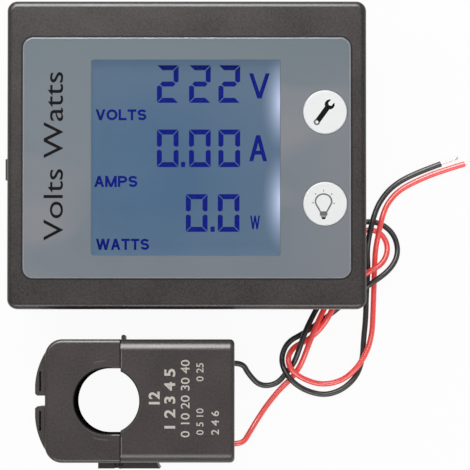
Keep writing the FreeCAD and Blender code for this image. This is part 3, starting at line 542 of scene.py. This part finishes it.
def add_line(curve, points):
    """Smooth line on control points given in millimetres."""
    spline = curve.splines.new("NURBS")
    spline.points.add(len(points) - 1)
    for point, place in zip(spline.points, points):
        point.co = (*(Vector(place) * MM), 1.0)
    spline.order_u = line_order
    spline.use_endpoint_u = True
    spline.resolution_u = line_resolution


def make_lead(colour, route):
    """Insulated lead with its bare twisted end."""
    curve = round_curve(colour + "_lead_line", lead_diameter / 2, lead_rounding)
    add_line(curve, route)
    lead = make_object(colour + "_lead_cord", curve, slot_materials[colour + "_insulation"], "base")
    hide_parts(colour + "_lead")
    end, before = Vector(route[-1]), Vector(route[-2])
    strands = make_strands(colour, end, (end - before).normalized())


def make_strands(colour, start, along):
    """Fine tinned strands, twisted at the insulation and a little apart at their ends."""
    side = along.cross(Vector((0, 0, 1))).normalized()
    up = side.cross(along)
    curve = round_curve(colour + "_strand_lines", strand_radius, strand_rounding)
    for number in range(strand_count):
        radius = 0.0 if number == 0 else strand_ring
        first = 2 * math.pi * number / (strand_count - 1)
        length = strand_length * random.uniform(strand_shortest, 1.0)
        points = []
        for step in range(strand_steps + 1):
            share = step / strand_steps
            angle = first + share * strand_turns * 2 * math.pi
            spread = radius * (1 + strand_spread * share ** 3)
            points.append(start + along * (length * share + strand_start)
                          + side * spread * math.cos(angle) + up * spread * math.sin(angle))
        add_line(curve, points)
    strands = make_object(colour + "_strands", curve, slot_materials["tinned_copper"], "base")
    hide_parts(colour + "_tip")
    return strands


make_camera()
make_lead("black", black_route)
make_lead("red", red_route)


# Flat prints: thin shapes laid on a surface, in millimetres

ink_thickness = 0.012
ink_step = 0.0006
ink_steps = 4
same_place = 0.001
closed_line = 1e-6
sharpest_turn = 0.5
least_corner = 0.05
corner_steps = 8
word_resolution = 6


def finish_form(name, form, material, body):
    """Piece from a form whose faces are all made."""
    mesh = bpy.data.meshes.new(name)
    bmesh.ops.recalc_face_normals(form, faces=form.faces)
    form.to_mesh(mesh)
    form.free()
    piece = make_object(name, mesh, material, body)


def lay_shapes(name, strokes, surface_z, material, body, thickness=ink_thickness):
    """One thin piece from strokes, each a list of flat faces; its underside lies on the surface."""
    form = bmesh.new()
    for number, faces in enumerate(strokes):
        corners = []
        for face in faces:
            made = form.faces.new([form.verts.new(Vector((x, y, surface_z)) * MM) for x, y in face])
            corners += made.verts
        bmesh.ops.remove_doubles(form, verts=corners, dist=same_place * MM)
        faces_made = list({f for v in corners if v.is_valid for f in v.link_faces})
        top = bmesh.ops.extrude_face_region(form, geom=faces_made)["geom"]
        lift = thickness + ink_step * (number % ink_steps)
        risen = [v for v in top if isinstance(v, bmesh.types.BMVert)]
        bmesh.ops.translate(form, verts=risen, vec=(0, 0, lift * MM))
    finish_form(name, form, material, body)


def ring_points(centre, radii, start, end, steps):
    """Points on an elliptic arc, with angles in degrees."""
    angles = [math.radians(start + (end - start) * step / steps) for step in range(steps + 1)]
    return [(centre[0] + radii[0] * math.cos(a), centre[1] + radii[1] * math.sin(a)) for a in angles]


def band(points, width):
    """Stroke of even width along a line of points; a line that ends where it starts is closed."""
    closed = math.dist(points[0], points[-1]) < closed_line
    sides = []
    for i, point in enumerate(points):
        before = points[i - 1] if i else (points[-2] if closed else None)
        after = points[i + 1] if i < len(points) - 1 else (points[1] if closed else None)
        runs = [(Vector(b) - Vector(a)).normalized() for a, b in ((before, point), (point, after)) if a and b]
        along = sum(runs, Vector((0, 0))).normalized()
        reach = width / 2 / max(sharpest_turn, along.dot(runs[0]))
        across = Vector((-along.y, along.x)) * reach
        sides.append((tuple(Vector(point) - across), tuple(Vector(point) + across)))
    return [[a[0], b[0], b[1], a[1]] for a, b in zip(sides, sides[1:])]


def round_box(box, corner, inset):
    """Points of a box with round corners, drawn in by an inset."""
    low_x, high_x, low_y, high_y = box
    radius = max(corner - inset, least_corner)
    points = []
    corners = [(high_x, high_y, 0), (low_x, high_y, 90), (low_x, low_y, 180), (high_x, low_y, 270)]
    middle_x, middle_y = (low_x + high_x) / 2, (low_y + high_y) / 2
    for x, y, start in corners:
        centre = (x - math.copysign(inset + radius, x - middle_x),
                  y - math.copysign(inset + radius, y - middle_y))
        points += ring_points(centre, (radius, radius), start, start + 90, corner_steps)
    return points


def node_box(node):
    """Low and high X and Y of a CAD node, in millimetres."""
    low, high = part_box(node)
    return (low.x / MM, high.x / MM, low.y / MM, high.y / MM)


def node_top(node):
    """Height of a CAD node's top, in millimetres."""
    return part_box(node)[1].z / MM


def lay_words(name, text, box, surface_z, material, body, weight=0.0):
    """Line of characters that reads upwards and fills a box (low x, high x, low y, high y)."""
    data = bpy.data.curves.new(name, "FONT")
    data.body = text
    data.align_x = "CENTER"
    data.align_y = "CENTER"
    data.size = 1.0
    data.offset = weight
    data.extrude = ink_thickness / 2
    data.resolution_u = word_resolution
    words = make_object(name, data, material, body)
    bpy.context.view_layer.update()
    corners = [Vector(c) for c in words.bound_box]
    low = Vector([min(c[i] for c in corners) for i in range(3)])
    high = Vector([max(c[i] for c in corners) for i in range(3)])
    low_x, high_x, low_y, high_y = box
    scale = Vector(((high_y - low_y) / (high.x - low.x), (high_x - low_x) / (high.y - low.y), 1.0)) * MM
    middle = (low + high) / 2
    shift = Vector((-middle.y * scale.y, middle.x * scale.x, 0))
    centre = Vector(((low_x + high_x) / 2, (low_y + high_y) / 2, surface_z + ink_thickness / 2)) * MM
    words.rotation_euler = (0, 0, math.pi / 2)
    words.scale = scale
    words.location = centre - shift


# Bold letters of the display: width in units, then strokes in a unit square

letter_shapes = {
    "A": (0.95, [("slant", 0, 0, 0.5, 1), ("slant", 1, 0, 0.5, 1), ("level", 0.2, 0.8, 0.3)]),
    "L": (0.78, [("slant", 0, 0, 0, 1), ("level", 0, 1, 0)]),
    "M": (1.12, [("slant", 0, 0, 0, 1), ("slant", 1, 0, 1, 1), ("slant", 0, 1, 0.5, 0),
                 ("slant", 1, 1, 0.5, 0)]),
    "O": (1.08, [("bow", 0.5, 0.5, 0.5, 0.5, 0, 360)]),
    "P": (0.9, [("slant", 0, 0, 0, 1), ("level", 0, 0.5, 1), ("level", 0, 0.5, 0.47),
                ("bow", 0.5, 0.735, 0.5, 0.265, 90, -90)]),
    "S": (0.9, [("bow", 0.5, 0.755, 0.47, 0.245, 15, 270), ("bow", 0.5, 0.255, 0.47, 0.255, 90, -165)]),
    "T": (0.85, [("level", 0, 1, 1), ("slant", 0.5, 0, 0.5, 1)]),
    "V": (0.95, [("slant", 0, 1, 0.5, 0), ("slant", 1, 1, 0.5, 0)]),
    "W": (1.4, [("slant", 0, 1, 0.25, 0), ("slant", 0.5, 1, 0.25, 0), ("slant", 0.5, 1, 0.75, 0),
                ("slant", 1, 1, 0.75, 0)]),
}
letter_space = 0.1
bow_steps = 28


def letter_strokes(letter, left, right, low, high, weight):
    """Strokes of a bold letter that fills its box.

    A slant goes from one point to another, and a level from one X to another at a Y. A bow has its centre,
    its radii and its two angles, in degrees.
    """
    inner_left, inner_low = left + weight / 2, low + weight / 2
    across, tall = right - left - weight, high - low - weight
    strokes = []
    for kind, *values in letter_shapes[letter][1]:
        if kind == "slant":
            start_x, start_y, end_x, end_y = values
            x0, x1 = inner_left + start_x * across, inner_left + end_x * across
            y0, y1 = low + start_y * (high - low), low + end_y * (high - low)
            half = weight / 2 * math.hypot(1, (x1 - x0) / (y1 - y0))
            strokes.append([[(x0 - half, y0), (x0 + half, y0), (x1 + half, y1), (x1 - half, y1)]])
        elif kind == "level":
            start_x, end_x, y = values
            x0, x1 = left + start_x * (right - left), left + end_x * (right - left)
            y0, y1 = low + y * tall, low + y * tall + weight
            strokes.append([[(x0, y0), (x1, y0), (x1, y1), (x0, y1)]])
        else:
            x, y, radius_x, radius_y, start, end = values
            centre = (inner_left + x * across, inner_low + y * tall)
            bow = ring_points(centre, (radius_x * across, radius_y * tall), start, end, bow_steps)
            strokes.append(band(bow, weight))
    return strokes


def word_strokes(word, box, weight):
    """Strokes of a bold word that fills a box (low x, high x, low y, high y)."""
    low_x, high_x, low_y, high_y = box
    widths = [letter_shapes[letter][0] for letter in word]
    unit = (high_x - low_x) / (sum(widths) + letter_space * (len(word) - 1))
    strokes = []
    left = low_x
    for letter, width in zip(word, widths):
        strokes += letter_strokes(letter, left, left + width * unit, low_y, high_y, weight)
        left += (width + letter_space) * unit
    return strokes


# Display: seven-segment digits, units and row names, in millimetres

segment_ink = printed("display_segments", srgb(2, 22, 140), specular=0.05)
polariser_thickness = 0.03
polariser_margin = 0.1
polariser_corner = 0.5
display_z = node_top("display_glass") + polariser_thickness
digit_size = (5.34, 9.26)
segment_width = 1.24
mitre = 0.13
waist = 0.32
digit_segments = {"0": "abcdef", "2": "abged"}
digit_rows = [
    ("222", 12.94, (-7.38, 0.52, 7.75)),
    ("000", -2.88, (-7.38, 0.52, 7.75)),
    ("00", -18.78, (-0.26, 7.58)),
]
dot_size = (1.05, 1.30)
dot_places = [(-1.46, -2.88), (5.80, -18.78)]
unit_boxes = [
    ("V", (15.3, 20.35, 14.02, 20.21), 0.98),
    ("A", (15.32, 19.7, -1.43, 4.98), 0.98),
    ("W", (15.54, 17.95, -18.12, -14.79), 0.40),
]
row_name_weight = 0.6
row_name_boxes = [
    ("VOLTS", (-22.42, -9.90, 8.65, 11.34), row_name_weight),
    ("AMPS", (-22.75, -12.10, -7.77, -5.02), row_name_weight),
    ("WATTS", (-22.32, -9.20, -23.22, -20.46), row_name_weight),
]


def segment_outlines():
    """The seven bars of a digit by letter, from its lower left corner."""
    width, height = digit_size
    middle, half = height / 2, segment_width / 2
    near, far = segment_width + mitre, width - segment_width - mitre
    upper = [(0, height - mitre), (segment_width, height - near), (segment_width, middle + half + mitre),
             (half, middle + waist), (0, middle + half)]
    top = [(mitre, height), (width - mitre, height), (far, height - segment_width),
           (near, height - segment_width)]
    bar = [(half + mitre, middle), (near, middle + half), (far, middle + half),
           (width - half - mitre, middle), (far, middle - half), (near, middle - half)]
    def to_right(outline):
        return [(width - x, y) for x, y in outline]
    def to_bottom(outline):
        return [(x, height - y) for x, y in outline]
    return {"a": top, "b": to_right(upper), "c": to_right(to_bottom(upper)), "d": to_bottom(top),
            "e": to_bottom(upper), "f": upper, "g": bar}


def make_polariser():
    """Polarising sheet on the cell, which carries the lit picture."""
    outline = round_box(node_box("display_glass"), polariser_corner, polariser_margin)
    lay_shapes("display_polariser", [[outline]], node_top("display_glass"), slot_materials["display_cell"],
               "base", polariser_thickness)


def make_display_print():
    """Digits, decimal points, unit letters and row names on the cell."""
    bars = segment_outlines()
    digits = []
    for row, low_y, lefts in digit_rows:
        for digit, left in zip(row, lefts):
            for letter in digit_segments[digit]:
                digits.append([[(left + x, low_y + y) for x, y in bars[letter]]])
    width, height = dot_size
    for x, y in dot_places:
        digits.append([[(x, y), (x + width, y), (x + width, y + height), (x, y + height)]])
    units = [stroke for word in unit_boxes for stroke in word_strokes(*word)]
    row_names = [stroke for word in row_name_boxes for stroke in word_strokes(*word)]
    for name, strokes in (("digits", digits), ("units", units), ("row_names", row_names)):
        lay_shapes("display_" + name, strokes, display_z, segment_ink, "base")


make_polariser()
make_display_print()


# Overlay print and button signs, in millimetres and degrees

dark_ink = printed("dark_ink", srgb(22, 18, 20), specular=0.05)
grey_ink = printed("grey_ink", srgb(108, 106, 108), specular=0.3)
pale_ink = printed("pale_ink", srgb(160, 160, 162), specular=0.3)
film_z = node_top("overlay_film")
button_z = node_top("settings_button")
overlay_words = "Volts Watts"
overlay_box = (-35.05, -30.30, -20.99, 20.30)
sign_steps = 40
thin_ink = ink_thickness / 2
thick_ink = ink_thickness * 1.2
top_ink = ink_thickness * 1.5
wrench_head = (35.01, 12.35)
wrench_hole = (31.87, 8.05)
wrench_head_radius = 1.22
wrench_handle = 1.3
wrench_jaw = 1.06
wrench_jaw_depth = 1.1
wrench_jaw_turn = -6
wrench_notch = wrench_jaw / 4
wrench_eye = (0.57, 0.42)
wrench_overlap = 0.7
bulb_centre = (33.50, -11.40)
bulb_radii = (1.98, 1.79)
bulb_glass = (214, -34)
bulb_stroke = 0.36
bulb_neck = (0.84, -13.85)
bulb_base = (0.92, -14.85)
bulb_collar = (0.76, -15.3)
bulb_tip = (0.56, -15.8)
collar_taper = 0.8
tip_taper = 0.6
bulb_rays = (90, 138, 42, 188, 349)
ray_span = (2.42, 2.88)
ray_width = 0.26


def lay_sign(name, strokes, ink, body, thickness=ink_thickness):
    """One ink of a button's sign."""
    lay_shapes(name, strokes, button_z, ink, body, thickness)


def make_wrench():
    """Open-ended wrench sign: jaw, handle and a paler eye with a white hole."""
    head, hole = Vector(wrench_head), Vector(wrench_hole)
    along = (head - hole).normalized()
    turn = math.degrees(math.atan2(along.y, along.x)) + wrench_jaw_turn
    out = Vector((math.cos(math.radians(turn)), math.sin(math.radians(turn))))
    across = Vector((-out.y, out.x))
    half = math.degrees(math.asin(wrench_jaw / 2 / wrench_head_radius))
    jaw = ring_points(wrench_head, (wrench_head_radius, wrench_head_radius), turn + half,
                      turn + 360 - half, sign_steps)
    tip = head + out * wrench_head_radius * math.cos(math.radians(half))
    floor = tip - out * wrench_jaw_depth
    notch = [tuple(floor - across * wrench_jaw / 2), tuple(floor - out * wrench_notch),
             tuple(floor + across * wrench_jaw / 2)]
    radius, width = wrench_eye
    start = hole + along * radius * wrench_overlap
    end = head - along * wrench_head_radius * wrench_overlap
    side = Vector((-along.y, along.x)) * wrench_handle / 2
    handle = [tuple(start + side), tuple(start - side), tuple(end - side), tuple(end + side)]
    eye = band(ring_points(wrench_hole, (radius, radius), 0, 360, bow_steps), width)
    inner = radius - width / 2
    bore = ring_points(wrench_hole, (inner, inner), 0, 360, bow_steps)[:-1]
    lay_sign("settings_sign", [[jaw + notch], [handle]], dark_ink, "settings_key")
    lay_sign("settings_sign_eye", [eye], grey_ink, "settings_key", thin_ink)
    lay_sign("settings_sign_hole", [[bore]], slot_materials["button_plastic"], "settings_key", top_ink)


def make_bulb():
    """Lamp sign: outline of the glass, short rays, screw base, collar and tip."""
    x = bulb_centre[0]
    neck_half, neck_y = bulb_neck
    base_half, base_y = bulb_base
    collar_half, collar_y = bulb_collar
    tip_half, tip_y = bulb_tip
    glass = [(x - neck_half, neck_y)] + ring_points(bulb_centre, bulb_radii, *bulb_glass, sign_steps)
    glass.append((x + neck_half, neck_y))
    rays = []
    for angle in bulb_rays:
        ends = [ring_points(bulb_centre, (reach, reach), angle, angle, 1)[0] for reach in ray_span]
        rays.append(band(ends, ray_width))
    def taper(low_half, low_y, high_half, high_y):
        low_side = [(x - low_half, low_y), (x + low_half, low_y)]
        return [low_side + [(x + high_half, high_y), (x - high_half, high_y)]]
    base = taper(base_half, base_y, base_half, neck_y)
    collar = taper(collar_half * collar_taper, collar_y, collar_half, base_y)
    tip = taper(tip_half * tip_taper, tip_y, tip_half, collar_y)
    lay_sign("backlight_sign", [band(glass, bulb_stroke)], grey_ink, "backlight_key")
    lay_sign("backlight_sign_rays", rays, pale_ink, "backlight_key")
    lay_sign("backlight_sign_base", [base], grey_ink, "backlight_key", thick_ink)
    lay_sign("backlight_sign_collar", [collar], pale_ink, "backlight_key")
    lay_sign("backlight_sign_tip", [tip], dark_ink, "backlight_key")


lay_words("overlay_units", overlay_words, overlay_box, film_z, dark_ink, "base")
make_wrench()
make_bulb()


# Rims in millimetres: the overlay's cut edge with a painted highlight, the window's edge and a line of
# painted shade at the lip of the overlay's recess

rim_rise = 0.05
rim_foot = 0.01
film_corner = 2.6
film_rim = (0.0, 0.34)
window_box = (-23.35, 22.85, -24.55, 23.25)
window_corner = 0.6
window_rim = (-0.16, 0.0)
lip_rim = (-0.4, -0.1)


def lay_rim(name, box, corner, insets, rises, surface_z, material):
    """Thin ring round a box, with the insets of its outer and inner sides and how far each rises."""
    form = bmesh.new()
    outer, inner = insets
    loops = []
    for inset, rise in ((outer, 0), (outer, rises[0]), (inner, rises[1]), (inner, 0)):
        points = round_box(box, corner, inset)
        loops.append([form.verts.new(Vector((x, y, surface_z + rise)) * MM) for x, y in points])
    for ring, after in zip(loops, loops[1:] + loops[:1]):
        for i in range(len(ring)):
            form.faces.new((ring[i - 1], ring[i], after[i], after[i - 1]))
    finish_form(name, form, material, "base")


def make_rims():
    """Cut edge round the overlay, paler in part as a painted highlight, a finer one round the window, and
    painted shade on the lip of the recess.
    """
    film_box = node_box("overlay_film")
    inner_high, outer_high = (rim_foot, rim_rise), (rim_rise, rim_foot)
    # The overlay's cut edge is paler in part as a painted highlight.
    edge = moulded("overlay_cut_edge", srgb(158, 162, 167), roughness=0.22, mottle=0.03)
    lay_rim("overlay_edge", film_box, film_corner, film_rim, inner_high, film_z, edge)
    edge = moulded("window_cut_edge", srgb(112, 120, 131), roughness=0.7, mottle=0.03, specular=0.1)
    lay_rim("window_edge", window_box, window_corner, window_rim, outer_high, film_z, edge)
    # Painted shade: a dark line on the bezel where the recess's wall casts shade.
    lip = moulded("recess_shade_line", srgb(30, 26, 26), roughness=0.6, mottle=0.1, specular=0.2)
    lay_rim("recess_shade_line", film_box, film_corner, lip_rim, inner_high, node_top("front_bezel"), lip)


make_rims()


# Transformer print: plain numbers that read upwards, and small painted highlights, in millimetres and degrees

white_ink = printed("white_ink", srgb(207, 198, 190))
ct_face_z = node_top("ct_base_shell")
ct_print = [
    ("12", (-9.16, -6.47, -61.0, -57.9), 0.03),
    ("1 2 3 4 5", (-5.38, -2.67, -66.86, -52.40), 0.025),
    ("0 10 20 30 40", (-1.35, 0.79, -69.00, -50.22), 0.006),
    ("0 5 10", (2.41, 4.16, -68.40, -62.00), 0.006),
    ("0 25", (2.41, 4.16, -55.40, -50.99), 0.006),
    ("2 4 6", (6.02, 7.92, -68.40, -62.60), 0.01),
]
seam_x = -15.75
seam_width = 0.16
seam_runs = [(-52.10, -48.10), (-73.60, -69.00)]
bore_arc_list = [("pale_bore_arc_upper", 9.75, 92, 108), ("pale_bore_arc_lower", 9.45, 250, 272)]
mark_width = 0.2
mark_steps = 12


def make_ct_print():
    """Lines of plain numbers on the base's flat face."""
    for number, (text, box, weight) in enumerate(ct_print, 1):
        lay_words("ct_print_%d" % number, text, box, ct_face_z, white_ink, "base", weight)


def make_ct_marks():
    """Painted highlights: pale lines along the split on the base, and two pale arcs by the bore on the cap.
    """
    # Painted highlights: pale lines along the split where it meets the bore.
    seam_highlight = moulded("painted_seam_glint", srgb(124, 118, 115), roughness=0.35, mottle=0.12)
    runs = [band([(seam_x, low), (seam_x, high)], seam_width) for low, high in seam_runs]
    lay_shapes("pale_seam_lines", runs, ct_face_z, seam_highlight, "base")
    # Painted highlights: two pale arcs on the cap by the bore.
    bore_arc_highlight = moulded("painted_bore_arc", srgb(92, 87, 86), roughness=0.35, mottle=0.12)
    for name, radius, start, end in bore_arc_list:
        arc = ring_points(bore_centre, (radius, radius), start, end, mark_steps)
        lay_shapes(name, [band(arc, mark_width)], ct_face_z, bore_arc_highlight, "ct_cap")


make_ct_print()
make_ct_marks()


# Bore: painted shade, a dark matt skin on its wall, one half on the cap and one on the base, in millimetres

bore_shade_sheet = 0.04
cap_face_x = -16.2
base_face_x = -16.0
cap_steps = 32
base_steps = 24


def make_painted_bore_shade():
    """Two thin sleeves of painted shade that darken the bore's wall between its rounded lips."""
    # Painted shade: a dark sheet with no gloss laid on the bore's wall.
    dark = moulded("bore_shade_sheet", srgb(34, 31, 31), roughness=0.9, mottle=0.1, specular=0.0)
    radius = bore_radius - bore_shade_sheet
    x, y = bore_centre
    reach = math.degrees(math.acos((base_face_x - x) / radius))
    cap_line = [(cap_face_x, y + radius)] + ring_points(bore_centre, (radius, radius), 90, 270, cap_steps)
    cap_line.append((cap_face_x, y - radius))
    base_line = ring_points(bore_centre, (radius, radius), -reach, reach, base_steps)
    low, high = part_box("ct_base_shell")
    for name, line, body in (("bore_shade_cap", cap_line, "ct_cap"), ("bore_shade_base", base_line, "base")):
        lay_shapes(name, [band(line, bore_shade_sheet)], low.z / MM + bore_lip, dark, body,
                   (high.z - low.z) / MM - 2 * bore_lip)


make_painted_bore_shade()


# Floor, world and lamps, in metres

floor_half = 3.0
floor_z = -0.00003
floor_tone = (0.9, 0.9, 0.9, 1.0)
floor_roughness = 0.9
floor_glow = 0.95
world_light = 0.4
world_gloss = 0.7


def seen_share(tree, gloss):
    """One for camera and transmission rays, another share for glossy rays and none for the rest."""
    rays = tree.nodes.new("ShaderNodeLightPath")
    shiny = compute(tree, "MULTIPLY", rays.outputs["Is Glossy Ray"], gloss)
    seen = compute(tree, "MAXIMUM", rays.outputs["Is Camera Ray"], rays.outputs["Is Transmission Ray"])
    return compute(tree, "MAXIMUM", seen, shiny)


def make_floor():
    """Wide white floor that keeps a soft shadow and shows white to the camera."""
    mesh = bpy.data.meshes.new("floor")
    form = bmesh.new()
    bmesh.ops.create_grid(form, x_segments=1, y_segments=1, size=floor_half)
    form.to_mesh(mesh)
    form.free()
    floor = bpy.data.objects.new("floor", mesh)
    bpy.context.scene.collection.objects.link(floor)
    floor.location = (0, 0, floor_z)
    material = bpy.data.materials.new("floor_white")
    material.use_nodes = True
    tree = material.node_tree
    shader = tree.nodes["Principled BSDF"]
    fill(tree, shader, {"Base Color": floor_tone, "Roughness": floor_roughness})
    glow = add(tree, "ShaderNodeEmission", {"Color": white, "Strength": 1.0})
    share = compute(tree, "MULTIPLY", seen_share(tree, 1.0), floor_glow)
    mix = add(tree, "ShaderNodeMixShader", {0: share, 1: shader.outputs["BSDF"], 2: glow.outputs["Emission"]})
    tree.links.new(mix.outputs["Shader"], tree.nodes["Material Output"].inputs["Surface"])
    mesh.materials.append(material)


def make_world():
    """White world, dimmer as a light than it looks."""
    world = bpy.data.worlds.new("world")
    bpy.context.scene.world = world
    world.use_nodes = True
    tree = world.node_tree
    strength = compute(tree, "MAXIMUM", seen_share(tree, world_gloss), world_light)
    fill(tree, tree.nodes["Background"], {"Color": white, "Strength": strength})


def make_lamp(name, place, target, size, power, gloss_only=False):
    """Soft oblong lamp aimed at a point; one kept for gloss draws the light lines on rounded edges."""
    data = bpy.data.lights.new(name, "AREA")
    data.shape = "RECTANGLE"
    data.size, data.size_y = size
    data.energy = power
    lamp = bpy.data.objects.new(name, data)
    bpy.context.scene.collection.objects.link(lamp)
    lamp.location = place
    lamp.rotation_euler = (Vector(target) - Vector(place)).to_track_quat("-Z", "Y").to_euler()
    lamp.visible_diffuse = not gloss_only


make_floor()
make_world()
make_lamp("lamp_back", place=(-0.15, 0.42, 0.55), target=(0.0, 0.0, 0.0), size=(1.0, 0.3), power=3.2)
make_lamp("lamp_front", place=(0.1, -0.62, 0.5), target=(0.0, -0.02, 0.0), size=(0.9, 0.14), power=1.0)
make_lamp("lamp_back_edges", place=(-0.1, 0.54, 0.6), target=(-0.02, 0.0, 0.0), size=(0.36, 0.72),
          power=10.0, gloss_only=True)
make_lamp("lamp_front_edges", place=(0.0, -0.6, 0.5), target=(0.0, 0.0, 0.0), size=(0.8, 0.4),
          power=3.2, gloss_only=True)

scene = bpy.context.scene
scene.view_settings.view_transform = "Standard"
